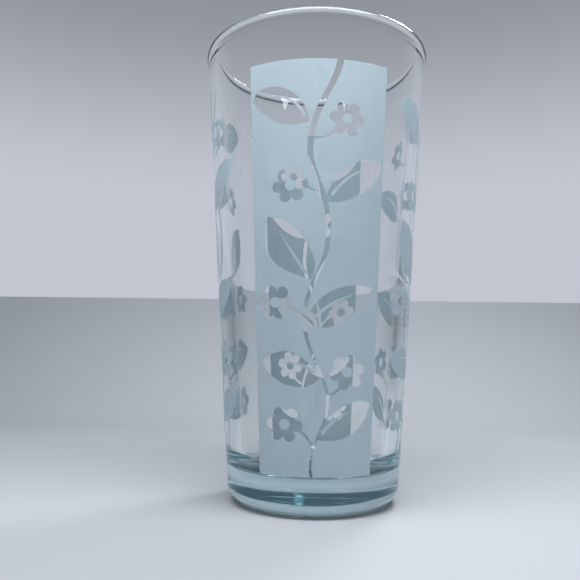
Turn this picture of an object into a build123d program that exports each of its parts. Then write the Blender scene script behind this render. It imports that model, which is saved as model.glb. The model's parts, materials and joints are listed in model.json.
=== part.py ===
"""Tall tapered drinking glass with fired-on frost decoration.

One clear glass body carries four patches of decoration on its outside: a frosted panel with a
clear flowering vine at the front and the back, and a frosted vine on clear glass at the left and
the right.  Every patch of frost is a separate thin layer that lies on the wall.

Frame: +Z up, origin at the middle of the foot, on the surface that the glass stands on.  The
front panel faces -Y.  Lengths are in millimetres and angles in degrees.
"""

from build123d import *
from math import cos, radians, sin
import os

# --- Glass body -----------------------------------------------------------------------------
HEIGHT = 164.0          # foot to rim
MOUTH_RADIUS = 40.9     # straight outside wall, carried up to the height of the rim
FOOT_RADIUS = 30.2      # straight outside wall, carried down to the foot
WALL_AT_MOUTH = 3.5
WALL_AT_FOOT = 5.5
FLOOR_HEIGHT = 11.5     # foot to the inside floor
FLOOR_FILLET = 9.0      # inside corner between wall and floor
HEEL_RADIUS = 6.6       # outside corner between wall and foot
PUSH_UP_RADIUS = 20.0   # shallow hollow under the foot
PUSH_UP_DEPTH = 1.2
LIP_PROUD = 0.6         # how far the rolled lip stands out from the straight wall
LIP_RADIUS = (WALL_AT_MOUTH + LIP_PROUD) / 2
LIP_FILLET = 1.0        # hollow corner under the lip

# --- Frost ----------------------------------------------------------------------------------
FROST = 0.12            # thickness of the fired-on layer
PANEL_BOTTOM = 13.6
PANEL_TOP = 146.4
PANEL_HALF_ANGLE = 34.7
PANELS = {"front": 0, "back": 180}
# Each side vine: azimuth round the glass, how much further its leaves and flowers stand from the
# stem than they do on the panels, and how much higher the whole vine sits.
VINES = {"left": (-85, 0.5, 3.4), "right": (86, 4.0, 1.8)}

# --- Vine drawing ---------------------------------------------------------------------------
# Drawn flat, as seen square-on: x to the right of the middle line, z up from the foot.
STEM = [
    (7.1, 148.0), (4.4, 139.0), (0.5, 131.3), (-2.0, 123.5), (-2.5, 115.0), (0.2, 107.0),
    (2.6, 99.3), (3.5, 91.7), (1.6, 81.1), (-1.9, 73.2), (-3.9, 62.0), (-2.8, 56.0),
    (0.5, 48.0), (3.2, 41.0), (3.6, 35.0), (1.5, 28.6), (-0.9, 22.0), (-0.8, 12.0),
]
STEM_WIDTH_AT_TOP = 2.3
STEM_WIDTH_AT_BOTTOM = 0.7

# Each leaf runs from its base on the stem to its tip, between an upper and a lower edge.  Its
# rib runs from near the base, through the first rib point, to the second.
LEAVES = [
    dict(base=(-2.9, 126.2), tip=(-21.5, 134.1), rib=[(-7.8, 132.4), (-17.3, 135.2)],
         upper=[(-5.4, 132.6), (-10.6, 137.2), (-16.0, 138.4), (-20.2, 137.2)],
         lower=[(-7.0, 125.3), (-12.6, 126.1), (-17.6, 129.4)]),
    dict(base=(2.6, 100.6), tip=(20.9, 114.5), rib=[(8.4, 107.4), (16.4, 112.0)],
         upper=[(5.2, 108.0), (10.4, 112.9), (16.6, 115.2)],
         lower=[(7.2, 100.6), (13.6, 103.5), (18.7, 108.4)]),
    dict(base=(-2.0, 75.6), tip=(-16.2, 96.2), rib=[(-6.8, 82.4), (-11.9, 91.0)],
         upper=[(-0.8, 80.6), (-3.8, 88.0), (-9.4, 93.9)],
         lower=[(-8.4, 78.0), (-14.8, 82.6), (-16.9, 89.5)]),
    dict(base=(-3.2, 61.4), tip=(17.8, 73.7), rib=[(4.2, 67.8), (12.0, 71.3)],
         upper=[(-1.0, 67.5), (4.7, 72.3), (11.5, 74.2)],
         lower=[(3.2, 60.6), (10.3, 63.9), (15.6, 69.0)]),
    dict(base=(1.6, 45.4), tip=(-17.4, 49.6), rib=[(-4.6, 48.6), (-12.3, 49.2)],
         upper=[(-3.0, 49.8), (-9.0, 53.1), (-14.4, 52.0)],
         lower=[(-3.4, 41.9), (-9.4, 42.4), (-14.8, 45.8)]),
    dict(base=(0.5, 25.4), tip=(17.6, 36.4), rib=[(5.6, 31.2), (11.4, 34.3)],
         upper=[(2.7, 30.8), (7.2, 34.9), (13.0, 37.4)],
         lower=[(5.6, 25.1), (11.1, 26.6), (15.4, 31.2)]),
]
RIB_WIDTH = 1.0
RIB_TAPER = 0.8         # width half-way along a rib, as a share of its width at the start
RIB_START = 0.3         # where a rib begins, as a share of the way from base to first rib point

# Each flower: its middle, the turn of its petals, and where its stalk leaves the stem.
FLOWERS = [
    dict(middle=(9.2, 127.4), turn=54, stalk=(-2.2, 121.0)),
    dict(middle=(-8.9, 105.9), turn=6, stalk=(1.6, 101.2)),
    dict(middle=(-13.4, 68.6), turn=-7, stalk=(-3.8, 61.6)),
    dict(middle=(9.8, 46.6), turn=14, stalk=(3.3, 38.8)),
    dict(middle=(-9.9, 29.9), turn=-6, stalk=(-0.8, 22.6)),
]
PETALS = 6
PETAL_RING = 3.85
PETAL_RADIUS = 1.88
HEART_RADIUS = 2.9      # disc that joins the petals
CENTRE_RADIUS = 1.7     # dot in the middle of a flower
STALK_WIDTH = 0.9
STALK_BOW = 0.14        # bow of a stalk, as a share of its length


def outside_radius(z):
    """Radius of the straight outside wall at height z."""
    return FOOT_RADIUS + (MOUTH_RADIUS - FOOT_RADIUS) * z / HEIGHT


def facing_plane(azimuth, lift):
    """Upright plane through the axis of the glass that faces outwards at this azimuth."""
    turn = radians(azimuth)
    return Plane(
        origin=(0, 0, lift),
        x_dir=(cos(turn), sin(turn), 0),
        z_dir=(sin(turn), -cos(turn), 0),
    )


def away_from_stem(point, element, gap):
    """A point of a leaf or flower, moved by the gap to the side that its element is on."""
    outermost = element.get("tip") or element["middle"]
    side = 1 if outermost[0] > 0 else -1
    return Vector(point[0] + side * gap, point[1])


def bowed_strip(start, end, width):
    """Narrow strip from start to end, bowed to the right of its direction."""
    start = Vector(*start)
    end = Vector(*end)
    along = end - start
    half = Vector(-along.Y, along.X).normalized() * (width / 2)
    bow = -STALK_BOW * along.length
    with BuildSketch() as strip:
        with BuildLine():
            SagittaArc(start + half, end + half, bow)
            Line(end + half, end - half)
            SagittaArc(start - half, end - half, bow)
            Line(start - half, start + half)
        make_face()
    return strip.sketch


def stem_face():
    """The winding stem, which narrows towards the foot."""
    top = STEM[0][1]
    bottom = STEM[-1][1]

    def edge(side):
        points = []
        for x, z in STEM:
            share = (z - bottom) / (top - bottom)
            width = STEM_WIDTH_AT_BOTTOM + (STEM_WIDTH_AT_TOP - STEM_WIDTH_AT_BOTTOM) * share
            points.append((x + side * width / 2, z))
        return points

    left = edge(-1)
    right = edge(1)
    with BuildSketch() as stem:
        with BuildLine():
            Spline(*left)
            Line(left[-1], right[-1])
            Spline(*right)
            Line(right[0], left[0])
        make_face()
    return stem.sketch


def leaf_face(leaf, gap):
    """Whole outline of one leaf."""
    base = away_from_stem(leaf["base"], leaf, gap)
    tip = away_from_stem(leaf["tip"], leaf, gap)
    upper = [away_from_stem(point, leaf, gap) for point in leaf["upper"]]
    lower = [away_from_stem(point, leaf, gap) for point in leaf["lower"]]
    with BuildSketch() as outline:
        with BuildLine():
            Spline(base, *upper, tip)
            Spline(base, *lower, tip)
        make_face()
    return outline.sketch


def rib_face(leaf, gap):
    """Rib of a leaf: widest near the base and drawn out to a point."""
    base = away_from_stem(leaf["base"], leaf, gap)
    middle = away_from_stem(leaf["rib"][0], leaf, gap)
    end = away_from_stem(leaf["rib"][1], leaf, gap)
    start = base + (middle - base) * RIB_START
    along = end - start
    half = Vector(-along.Y, along.X).normalized() * (RIB_WIDTH / 2)
    with BuildSketch() as rib:
        with BuildLine():
            Spline(start + half, middle + half * RIB_TAPER, end)
            Spline(start - half, middle - half * RIB_TAPER, end)
            Line(start - half, start + half)
        make_face()
    return rib.sketch


def flower_face(flower, gap):
    """Outline of one flower, its centre filled in."""
    middle = away_from_stem(flower["middle"], flower, gap)
    with BuildSketch() as outline:
        with Locations(middle):
            Circle(HEART_RADIUS)
            with PolarLocations(PETAL_RING, PETALS, start_angle=flower["turn"]):
                Circle(PETAL_RADIUS)
    return outline.sketch


def centre_face(flower, gap):
    """Dot in the middle of one flower."""
    with BuildSketch() as dot:
        with Locations(away_from_stem(flower["middle"], flower, gap)):
            Circle(CENTRE_RADIUS)
    return dot.sketch


def stalks_face(gap):
    """Stalks of all the flowers, and of the leaves where they stand off from the stem."""
    with BuildSketch() as stalks:
        for flower in FLOWERS:
            add(bowed_strip(flower["stalk"], away_from_stem(flower["middle"], flower, gap), STALK_WIDTH))
        if gap > STALK_WIDTH:
            for leaf in LEAVES:
                root = away_from_stem(leaf["base"], leaf, -STALK_WIDTH)
                foot_of_leaf = away_from_stem(leaf["base"], leaf, gap + STALK_WIDTH)
                add(bowed_strip(root, foot_of_leaf, STALK_WIDTH))
    return stalks.sketch


def panel_ground():
    """Frosted ground of a panel, cut through by the clear stem, stalks, leaves and flowers."""
    top = outside_radius(PANEL_TOP) * sin(radians(PANEL_HALF_ANGLE))
    bottom = outside_radius(PANEL_BOTTOM) * sin(radians(PANEL_HALF_ANGLE))
    with BuildSketch() as ground:
        with BuildLine():
            Polyline(
                (-bottom, PANEL_BOTTOM), (bottom, PANEL_BOTTOM),
                (top, PANEL_TOP), (-top, PANEL_TOP),
                close=True,
            )
        make_face()
        add(stem_face(), mode=Mode.SUBTRACT)
        add(stalks_face(0), mode=Mode.SUBTRACT)
        for leaf in LEAVES:
            add(leaf_face(leaf, 0), mode=Mode.SUBTRACT)
        for flower in FLOWERS:
            add(flower_face(flower, 0), mode=Mode.SUBTRACT)
    return ground.sketch


def frost_layer():
    """Thin conical skin on the outside wall, from which every patch of frost is cut."""
    low = PANEL_BOTTOM - 1
    high = PANEL_TOP + 1
    with BuildPart() as layer:
        with BuildSketch(Plane.XZ):
            with BuildLine():
                Polyline(
                    (outside_radius(low), low),
                    (outside_radius(low) + FROST, low),
                    (outside_radius(high) + FROST, high),
                    (outside_radius(high), high),
                    close=True,
                )
            make_face()
        revolve(axis=Axis.Z)
    return layer.part


def write_piece(piece, name):
    """Name one finished piece and write it to its own file."""
    piece.label = name
    export_step(piece, f"parts/{name}.step")


def write_frost(drawing, azimuth, lift, layer, name):
    """Carry a flat drawing out to the wall at this azimuth and keep what lies in the frost."""
    with BuildPart() as patch:
        with BuildSketch(facing_plane(azimuth, lift)):
            add(drawing)
        extrude(amount=MOUTH_RADIUS + FROST)
        add(layer, mode=Mode.INTERSECT)
    write_piece(patch.part, name)


os.makedirs("parts", exist_ok=True)

# --- Body: one revolved section, from the hollow under the foot to the rolled lip -------------
lip_height = HEIGHT - LIP_RADIUS
lip_middle = outside_radius(lip_height) + LIP_PROUD - LIP_RADIUS
mouth = lip_middle - LIP_RADIUS
well = outside_radius(FLOOR_HEIGHT) - WALL_AT_FOOT
with BuildPart() as tumbler_body:
    with BuildSketch(Plane.XZ) as section:
        with BuildLine():
            SagittaArc((0, PUSH_UP_DEPTH), (PUSH_UP_RADIUS, 0), PUSH_UP_DEPTH / 4)
            FilletPolyline(
                (PUSH_UP_RADIUS, 0),
                (FOOT_RADIUS, 0),
                (outside_radius(lip_height), lip_height),
                radius=HEEL_RADIUS,
            )
            Line((outside_radius(lip_height), lip_height), (mouth, lip_height))
            FilletPolyline(
                (mouth, lip_height),
                (well, FLOOR_HEIGHT),
                (0, FLOOR_HEIGHT),
                radius=FLOOR_FILLET,
            )
            Line((0, FLOOR_HEIGHT), (0, PUSH_UP_DEPTH))
        make_face()
        with Locations((lip_middle, lip_height)):
            Circle(LIP_RADIUS)
        under_lip = section.vertices().sort_by_distance((outside_radius(lip_height), lip_height - LIP_RADIUS))
        fillet(under_lip[0], radius=LIP_FILLET)
    revolve(axis=Axis.Z)
write_piece(tumbler_body.part, "tumbler_body")

# --- Frosted panels: ground left and right of the clear stem, ribs, and flower centres --------
frost = frost_layer()
ground_faces = panel_ground().faces().sort_by(Axis.X)
with BuildSketch() as all_ribs:
    for leaf in LEAVES:
        add(rib_face(leaf, 0))
with BuildSketch() as all_centres:
    for flower in FLOWERS:
        add(centre_face(flower, 0))
for side, azimuth in PANELS.items():
    write_frost(ground_faces[0], azimuth, 0, frost, f"{side}_panel_left")
    write_frost(ground_faces[-1], azimuth, 0, frost, f"{side}_panel_right")
    write_frost(all_ribs.sketch, azimuth, 0, frost, f"{side}_leaf_ribs")
    write_frost(all_centres.sketch, azimuth, 0, frost, f"{side}_flower_centres")

# --- Side vines: frosted stem, leaves with clear ribs, and flowers with clear centres ---------
for side, (azimuth, gap, lift) in VINES.items():
    with BuildSketch() as stem:
        add(stem_face())
        add(stalks_face(gap))
        for flower in FLOWERS:
            add(flower_face(flower, gap), mode=Mode.SUBTRACT)
    with BuildSketch() as leaves:
        for leaf in LEAVES:
            add(leaf_face(leaf, gap))
            add(rib_face(leaf, gap), mode=Mode.SUBTRACT)
        add(stem.sketch, mode=Mode.SUBTRACT)
    with BuildSketch() as flowers:
        for flower in FLOWERS:
            add(flower_face(flower, gap))
            add(centre_face(flower, gap), mode=Mode.SUBTRACT)
    write_frost(stem.sketch, azimuth, lift, frost, f"{side}_vine_stem")
    write_frost(leaves.sketch, azimuth, lift, frost, f"{side}_vine_leaves")
    write_frost(flowers.sketch, azimuth, lift, frost, f"{side}_vine_flowers")
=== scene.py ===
"""Looks of the tall drinking glass: clear pressed glass with fired-on satin frost.

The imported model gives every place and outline.  Lengths are in metres.
"""

import bmesh
import bpy
import json
from math import atan2, cos, hypot, pi, radians, sin, sqrt
from mathutils import Matrix, Vector, noise


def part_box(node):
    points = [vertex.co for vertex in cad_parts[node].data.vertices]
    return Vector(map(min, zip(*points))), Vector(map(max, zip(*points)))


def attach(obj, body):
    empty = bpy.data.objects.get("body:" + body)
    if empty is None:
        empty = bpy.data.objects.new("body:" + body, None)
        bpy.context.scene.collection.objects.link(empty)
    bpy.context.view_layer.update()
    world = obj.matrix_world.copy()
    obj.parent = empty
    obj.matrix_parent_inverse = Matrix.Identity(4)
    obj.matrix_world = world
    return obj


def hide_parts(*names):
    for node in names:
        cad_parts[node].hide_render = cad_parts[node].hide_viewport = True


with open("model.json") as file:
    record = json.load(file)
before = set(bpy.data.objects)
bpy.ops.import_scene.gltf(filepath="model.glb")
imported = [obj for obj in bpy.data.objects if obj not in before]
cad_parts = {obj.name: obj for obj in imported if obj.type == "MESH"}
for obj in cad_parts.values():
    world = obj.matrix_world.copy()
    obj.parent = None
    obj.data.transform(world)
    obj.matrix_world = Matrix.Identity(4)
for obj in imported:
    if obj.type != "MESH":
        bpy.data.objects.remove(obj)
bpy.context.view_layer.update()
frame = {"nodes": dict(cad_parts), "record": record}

MM = 0.001

# --- Section of the glass, as in the CAD model -------------------------------------------------
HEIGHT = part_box("tumbler_body")[1].z
MOUTH_RADIUS = 40.9 * MM
FOOT_RADIUS = 30.2 * MM
WALL_AT_MOUTH = 3.5 * MM
WALL_AT_FOOT = 5.5 * MM
FLOOR_HEIGHT = 11.5 * MM
FLOOR_FILLET = 9.0 * MM
HEEL_RADIUS = 6.6 * MM
PUSH_UP_RADIUS = 20.0 * MM
PUSH_UP_DEPTH = 1.2 * MM
LIP_PROUD = 0.6 * MM
LIP_RADIUS = (WALL_AT_MOUTH + LIP_PROUD) / 2
LIP_FILLET = 1.0 * MM
FROST = 0.12 * MM

TURNS = 256                 # facets round the glass
WAVE = 0.05 * MM            # unevenness of the pressed inside wall
WAVE_DEPTH = 1.5 * MM       # points deeper in the wall than this are on its inside
WAVE_START = 10 * MM        # height over which the unevenness grows from the inside floor
WAVE_END = 8 * MM           # height over which it dies away below the lip
HEEL_RIPPLE = 0.04 * MM     # unevenness of the round corner over the foot


def outside_radius(z):
    """Radius of the straight outside wall at height z."""
    return FOOT_RADIUS + (MOUTH_RADIUS - FOOT_RADIUS) * z / HEIGHT


def arc(middle, radius, start, end, steps):
    """Points on an arc of the section, as (radius from the axis, height)."""
    points = []
    for i in range(steps + 1):
        angle = start + (end - start) * i / steps
        points.append((middle[0] + radius * cos(angle), middle[1] + radius * sin(angle)))
    return points


def straight(start, end, steps):
    """Points strictly between start and end."""
    points = []
    for i in range(1, steps):
        share = i / steps
        points.append((start[0] + (end[0] - start[0]) * share, start[1] + (end[1] - start[1]) * share))
    return points


def glass_section():
    """Outline of half the section, from the middle of the underside round to the inside floor."""
    lean = atan2(MOUTH_RADIUS - FOOT_RADIUS, HEIGHT)
    lip_height = HEIGHT - LIP_RADIUS
    lip_middle = outside_radius(lip_height) + LIP_PROUD - LIP_RADIUS
    mouth = lip_middle - LIP_RADIUS
    well = outside_radius(FLOOR_HEIGHT) - WALL_AT_FOOT
    inside_lean = atan2(mouth - well, lip_height - FLOOR_HEIGHT)

    steps = 24
    under = []
    for i in range(1, steps + 1):
        share = i / steps
        under.append((PUSH_UP_RADIUS * share, PUSH_UP_DEPTH * (1 - share ** 2)))

    heel_middle = (outside_radius(HEEL_RADIUS) - HEEL_RADIUS / cos(lean), HEEL_RADIUS)
    heel = arc(heel_middle, HEEL_RADIUS, -pi / 2, -lean, 24)

    # Hollow corner under the lip: tangent to the wall and to the round lip.
    along = (sin(lean), cos(lean))
    outward = (cos(lean), -sin(lean))
    apart = LIP_FILLET + (LIP_RADIUS - LIP_PROUD) * cos(lean)
    below = sqrt((LIP_RADIUS + LIP_FILLET) ** 2 - apart ** 2)
    hollow_middle = (
        lip_middle + outward[0] * apart - along[0] * below,
        lip_height + outward[1] * apart - along[1] * below,
    )
    to_lip = atan2(lip_height - hollow_middle[1], lip_middle - hollow_middle[0])
    hollow = arc(hollow_middle, LIP_FILLET, pi - lean, to_lip, 6)
    lip = arc((lip_middle, lip_height), LIP_RADIUS, to_lip - pi, pi - inside_lean, 40)

    corner_height = FLOOR_HEIGHT + FLOOR_FILLET
    inside_wall = well + (mouth - well) * FLOOR_FILLET / (lip_height - FLOOR_HEIGHT)
    corner_middle = (inside_wall - FLOOR_FILLET / cos(inside_lean), corner_height)
    corner = arc(corner_middle, FLOOR_FILLET, -inside_lean, -pi / 2, 24)
    floor = [(corner[-1][0] * (1 - i / steps), FLOOR_HEIGHT) for i in range(1, steps)]

    return (
        under
        + heel
        + straight(heel[-1], hollow[0], 80)
        + hollow
        + lip[1:]
        + straight(lip[-1], corner[0], 80)
        + corner
        + floor
    )


def unevenness(place, radius):
    """Small shift of a point of the glass: pressed glass is never quite even.

    The outside wall, which carries the frost, and the foot ring stay true.
    """
    outward = Vector((place.x / radius, place.y / radius, 0))
    if place.z > FLOOR_HEIGHT and outside_radius(place.z) - radius > WAVE_DEPTH:
        wave = noise.noise(Vector((outward.x * 2.2, outward.y * 2.2, place.z * 14)))
        wave += 0.4 * noise.noise(Vector((outward.x * 6, outward.y * 6, place.z * 30 + 5)))
        strength = min(1, (place.z - FLOOR_HEIGHT) / WAVE_START, (HEIGHT - place.z) / WAVE_END)
        return outward * WAVE * wave * max(0, strength)
    if 0 < place.z < HEEL_RADIUS:
        share = sin(pi * min(1, place.z / HEEL_RADIUS))
        ripple = noise.noise(Vector((outward.x * 1.5, outward.y * 1.5, place.z * 900)))
        ripple += 0.6 * noise.noise(Vector((outward.x * 5, outward.y * 5, place.z * 400 + 9)))
        return -outward * HEEL_RIPPLE * share * (1 + ripple)
    return Vector()


def glass_mesh():
    """Closed lathe of the section, with the slight unevenness of pressed glass on the inside wall."""
    section = glass_section()
    mesh = bmesh.new()
    rings = []
    for radius, height in section:
        ring = []
        for k in range(TURNS):
            angle = 2 * pi * k / TURNS
            ring.append(mesh.verts.new((radius * cos(angle), radius * sin(angle), height)))
        rings.append(ring)
    for lower, upper in zip(rings, rings[1:]):
        for k in range(TURNS):
            after = (k + 1) % TURNS
            mesh.faces.new((lower[k], lower[after], upper[after], upper[k]))
    underside = mesh.verts.new((0, 0, PUSH_UP_DEPTH))
    inside_floor = mesh.verts.new((0, 0, FLOOR_HEIGHT))
    for k in range(TURNS):
        after = (k + 1) % TURNS
        mesh.faces.new((underside, rings[0][after], rings[0][k]))
        mesh.faces.new((inside_floor, rings[-1][k], rings[-1][after]))
    for vertex in mesh.verts:
        radius = hypot(vertex.co.x, vertex.co.y)
        if radius > 1e-6:
            vertex.co += unevenness(vertex.co, radius)
    for face in mesh.faces:
        face.smooth = True
    data = bpy.data.meshes.new("glass_body")
    mesh.to_mesh(data)
    mesh.free()
    return data


# --- Frost: the CAD outline of each patch, laid on the smooth wall -------------------------------
GAP = 0.01 * MM             # air between wall and frost, so that their faces never coincide
STRIP_ANGLE = 1.5           # degrees between the upright cuts that let a patch follow the wall
INNER_SHARE = 0.30          # up to this share of the thickness a point is on the wall side
OUTER_SHARE = 0.65          # from this share on it is on the outer side
CREASE = radians(35)        # sharper edges than this stay sharp


def frost_mesh(node):
    """The CAD outline of a patch of frost, cut into narrow strips and laid smoothly on the wall."""
    mesh = bmesh.new()
    mesh.from_mesh(frame["nodes"][node].data)
    bmesh.ops.remove_doubles(mesh, verts=mesh.verts, dist=0.001 * MM)
    for i in range(int(180 / STRIP_ANGLE)):
        angle = radians(i * STRIP_ANGLE)
        bmesh.ops.bisect_plane(
            mesh,
            geom=mesh.verts[:] + mesh.edges[:] + mesh.faces[:],
            dist=0.0005 * MM,
            plane_co=(0, 0, 0),
            plane_no=(cos(angle), sin(angle), 0),
        )
    for vertex in mesh.verts:
        radius = hypot(vertex.co.x, vertex.co.y)
        wall = outside_radius(vertex.co.z)
        share = ((radius - wall) / FROST - INNER_SHARE) / (OUTER_SHARE - INNER_SHARE)
        laid = (wall + GAP + (FROST - GAP) * min(1, max(0, share))) / radius
        vertex.co.x *= laid
        vertex.co.y *= laid
    for face in mesh.faces:
        face.smooth = True
    for edge in mesh.edges:
        edge.smooth = edge.calc_face_angle(0) < CREASE
    data = bpy.data.meshes.new(node + "_frost")
    mesh.to_mesh(data)
    mesh.free()
    return data


# --- Materials -----------------------------------------------------------------------------------
GLASS_IOR = 1.52
GLASS_TINT = (0.10, 0.55, 0.62, 1)      # colour that a long way through the glass leaves
GLASS_TINT_DENSITY = 9.0                # per metre
FROST_COLOUR = (0.77, 0.875, 0.915, 1)
FROST_IOR = 1.45
FROST_ROUGHNESS = 0.6
FROST_SEE_THROUGH = 0.45                # share of the clear grain that lets light through
FROST_GLOW = 0.27                       # share of the coat that spreads light evenly
GRAIN_SCALE = 3500
GRAIN_STRENGTH = 0.25
GRAIN_DEPTH = 0.05 * MM


def new_material(name):
    """Node material, with its tree and its Principled shader."""
    material = bpy.data.materials.new(name)
    material.use_nodes = True
    tree = material.node_tree
    return material, tree, tree.nodes["Principled BSDF"]


def clear_glass():
    """Fire-polished soda-lime glass, blue-green through its depth."""
    material, tree, shader = new_material("clear_glass")
    shader.inputs["Base Color"].default_value = (1, 1, 1, 1)
    shader.inputs["Roughness"].default_value = 0.0
    shader.inputs["IOR"].default_value = GLASS_IOR
    shader.inputs["Transmission Weight"].default_value = 1.0
    absorption = tree.nodes.new("ShaderNodeVolumeAbsorption")
    absorption.inputs["Color"].default_value = GLASS_TINT
    absorption.inputs["Density"].default_value = GLASS_TINT_DENSITY
    tree.links.new(absorption.outputs["Volume"], tree.nodes["Material Output"].inputs["Volume"])
    return material


def satin_frost(name):
    """Fine-grained fired-on frost: part clear grain that blurs, part white glaze that glows."""
    material, tree, shader = new_material(name)
    shader.inputs["Base Color"].default_value = FROST_COLOUR
    shader.inputs["Roughness"].default_value = FROST_ROUGHNESS
    shader.inputs["IOR"].default_value = FROST_IOR
    shader.inputs["Transmission Weight"].default_value = FROST_SEE_THROUGH
    place = tree.nodes.new("ShaderNodeTexCoord")
    grain = tree.nodes.new("ShaderNodeTexNoise")
    grain.inputs["Scale"].default_value = GRAIN_SCALE
    grain.inputs["Detail"].default_value = 3
    tree.links.new(place.outputs["Object"], grain.inputs["Vector"])
    bump = tree.nodes.new("ShaderNodeBump")
    bump.inputs["Strength"].default_value = GRAIN_STRENGTH
    bump.inputs["Distance"].default_value = GRAIN_DEPTH
    tree.links.new(grain.outputs["Fac"], bump.inputs["Height"])
    tree.links.new(bump.outputs["Normal"], shader.inputs["Normal"])
    glow = tree.nodes.new("ShaderNodeBsdfTranslucent")
    glow.inputs["Color"].default_value = FROST_COLOUR
    both = tree.nodes.new("ShaderNodeMixShader")
    both.inputs["Fac"].default_value = FROST_GLOW
    tree.links.new(shader.outputs["BSDF"], both.inputs[1])
    tree.links.new(glow.outputs["BSDF"], both.inputs[2])
    tree.links.new(both.outputs["Shader"], tree.nodes["Material Output"].inputs["Surface"])
    return material


# --- Pieces --------------------------------------------------------------------------------------
def add_piece(name, data, material, node):
    """Make one visible piece that stands for a CAD node."""
    piece = bpy.data.objects.new(name, data)
    bpy.context.scene.collection.objects.link(piece)
    data.materials.clear()
    data.materials.append(material)
    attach(piece, "root")
    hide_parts(node)


slots = {entry["node"]: entry["material_slot"] for entry in frame["record"]["subparts"]}
finishes = {
    "clear_glass": clear_glass(),
    "panel_frost": satin_frost("panel_frost"),
    "vine_frost": satin_frost("vine_frost"),
}
add_piece("glass_body", glass_mesh(), finishes["clear_glass"], "tumbler_body")
for node in sorted(frame["nodes"]):
    if node != "tumbler_body":
        add_piece(node + "_frost", frost_mesh(node), finishes[slots[node]], node)


# --- Stage ---------------------------------------------------------------------------------------
FLOOR_COLOUR = (0.46, 0.48, 0.505, 1)
FLOOR_DROP = 0.1 * MM       # the soft floor gives way a little under the foot
FLOOR_FRONT = -1.2
FLOOR_BACK = 0.30
FLOOR_RISE = 0.095
FLOOR_HALF_WIDTH = 3.0


def matt(name, colour):
    """Plain matt material for the stage."""
    material, _, shader = new_material(name)
    shader.inputs["Base Color"].default_value = colour
    shader.inputs["Roughness"].default_value = 0.9
    shader.inputs["Specular IOR Level"].default_value = 0.1
    return material


def stage_sheet(name, profile, half_width, material):
    """Sheet swept sideways from a profile of (y, z) points."""
    mesh = bmesh.new()
    left = [mesh.verts.new((-half_width, y, z)) for y, z in profile]
    right = [mesh.verts.new((half_width, y, z)) for y, z in profile]
    for i in range(len(profile) - 1):
        mesh.faces.new((left[i], right[i], right[i + 1], left[i + 1]))
    for face in mesh.faces:
        face.smooth = True
    data = bpy.data.meshes.new(name)
    mesh.to_mesh(data)
    mesh.free()
    data.materials.append(material)
    sheet = bpy.data.objects.new(name, data)
    bpy.context.scene.collection.objects.link(sheet)


sweep = arc((FLOOR_BACK - FLOOR_RISE, FLOOR_RISE - FLOOR_DROP), FLOOR_RISE, -pi / 2, 0, 16)
profile = [(FLOOR_FRONT, -FLOOR_DROP)] + sweep
stage_sheet("floor", profile, FLOOR_HALF_WIDTH, matt("floor_pale", FLOOR_COLOUR))


# --- Light ---------------------------------------------------------------------------------------
def area_light(name, place, target, size, power, colour):
    """Soft rectangular light that points at the target."""
    light = bpy.data.lights.new(name, "AREA")
    light.shape = "RECTANGLE"
    light.size, light.size_y = size
    light.energy = power
    light.color = colour
    lamp = bpy.data.objects.new(name, light)
    bpy.context.scene.collection.objects.link(lamp)
    lamp.location = place
    lamp.rotation_euler = (Vector(target) - Vector(place)).to_track_quat("-Z", "Y").to_euler()
    return lamp


middle = Vector((0, 0, HEIGHT / 2))
area_light("key_behind", (0.16, 0.22, 0.42), middle, (0.10, 0.07), 0.95, (0.95, 0.98, 1))
soft = area_light("soft_above", (0, -0.12, 0.35), middle, (0.36, 0.15), 1.65, (0.93, 0.96, 1))
soft.visible_transmission = False    # its image would fill the base of the glass

# The surroundings: a pale wall behind the glass that darkens upwards, and a dimmer room in front.
WALL_LOW = (0.54, 0.565, 0.635, 1)
WALL_HIGH = (0.27, 0.285, 0.32, 1)
ROOM_IN_FRONT = (0.20, 0.21, 0.24, 1)

world = bpy.data.worlds.new("world")
bpy.context.scene.world = world
world.use_nodes = True
room = world.node_tree
direction = room.nodes.new("ShaderNodeTexCoord")
split = room.nodes.new("ShaderNodeSeparateXYZ")
room.links.new(direction.outputs["Generated"], split.inputs["Vector"])


def fade(axis, start, end):
    """Smooth rise from 0 to 1 along one axis of the direction."""
    step = room.nodes.new("ShaderNodeMapRange")
    step.interpolation_type = "SMOOTHSTEP"
    step.inputs["From Min"].default_value = start
    step.inputs["From Max"].default_value = end
    room.links.new(split.outputs[axis], step.inputs["Value"])
    return step.outputs["Result"]


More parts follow.
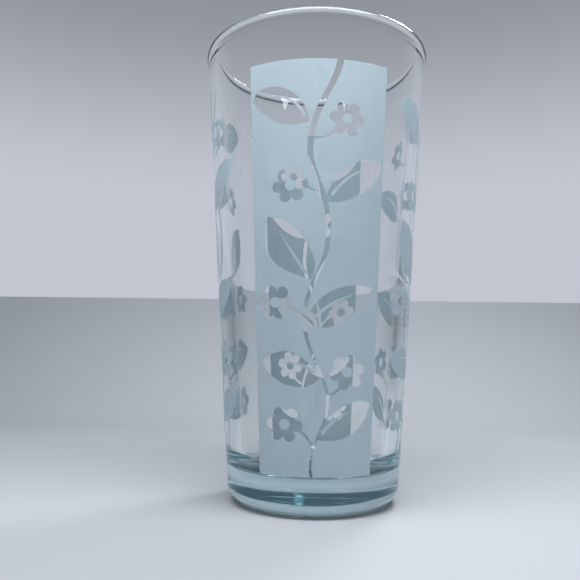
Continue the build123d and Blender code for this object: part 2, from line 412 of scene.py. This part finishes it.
def blend(factor, first, second):
    """Colour between two others; the second may be a socket."""
    mix = room.nodes.new("ShaderNodeMix")
    mix.data_type = "RGBA"
    room.links.new(factor, mix.inputs["Factor"])
    mix.inputs["A"].default_value = first
    if isinstance(second, tuple):
        mix.inputs["B"].default_value = second
    else:
        room.links.new(second, mix.inputs["B"])
    return mix.outputs["Result"]


wall = blend(fade("Z", 0.22, 0.52), WALL_LOW, WALL_HIGH)
surroundings = blend(fade("Y", 0.0, 0.6), ROOM_IN_FRONT, wall)
room.links.new(surroundings, room.nodes["Background"].inputs["Color"])


# --- Camera --------------------------------------------------------------------------------------
CAMERA_PLACE = Vector((-6.56 * MM, -236.7 * MM, 53.8 * MM))
CAMERA_HEADING = -0.0101     # radians, to the right of +Y
CAMERA_PITCH = 0.0917        # radians, upwards
CAMERA_ROLL = 0.0122         # radians, to the left about the line of sight
SENSOR_WIDTH = 36            # mm
FOCAL_LENGTH = 39.7          # mm
CLIP_START = 0.01
BOUNCES = 64                 # fewer leave black streaks in the thick base

level = Vector((sin(CAMERA_HEADING), cos(CAMERA_HEADING), 0))
level_right = Vector((cos(CAMERA_HEADING), -sin(CAMERA_HEADING), 0))
forward = level * cos(CAMERA_PITCH) + Vector((0, 0, sin(CAMERA_PITCH)))
level_up = -level * sin(CAMERA_PITCH) + Vector((0, 0, cos(CAMERA_PITCH)))
right = level_right * cos(CAMERA_ROLL) + level_up * sin(CAMERA_ROLL)
up = level_up * cos(CAMERA_ROLL) - level_right * sin(CAMERA_ROLL)

camera_data = bpy.data.cameras.new("camera")
camera_data.sensor_width = SENSOR_WIDTH
camera_data.lens = FOCAL_LENGTH
camera_data.clip_start = CLIP_START
camera = bpy.data.objects.new("camera", camera_data)
bpy.context.scene.collection.objects.link(camera)
turned = Matrix((right, up, -forward)).transposed().to_4x4()
camera.matrix_world = Matrix.Translation(CAMERA_PLACE) @ turned
bpy.context.scene.camera = camera

bpy.context.scene.view_settings.view_transform = "Standard"
bpy.context.scene.cycles.max_bounces = BOUNCES
bpy.context.scene.cycles.transmission_bounces = BOUNCES
bpy.context.scene.cycles.glossy_bounces = BOUNCES

bpy.context.view_layer.update()
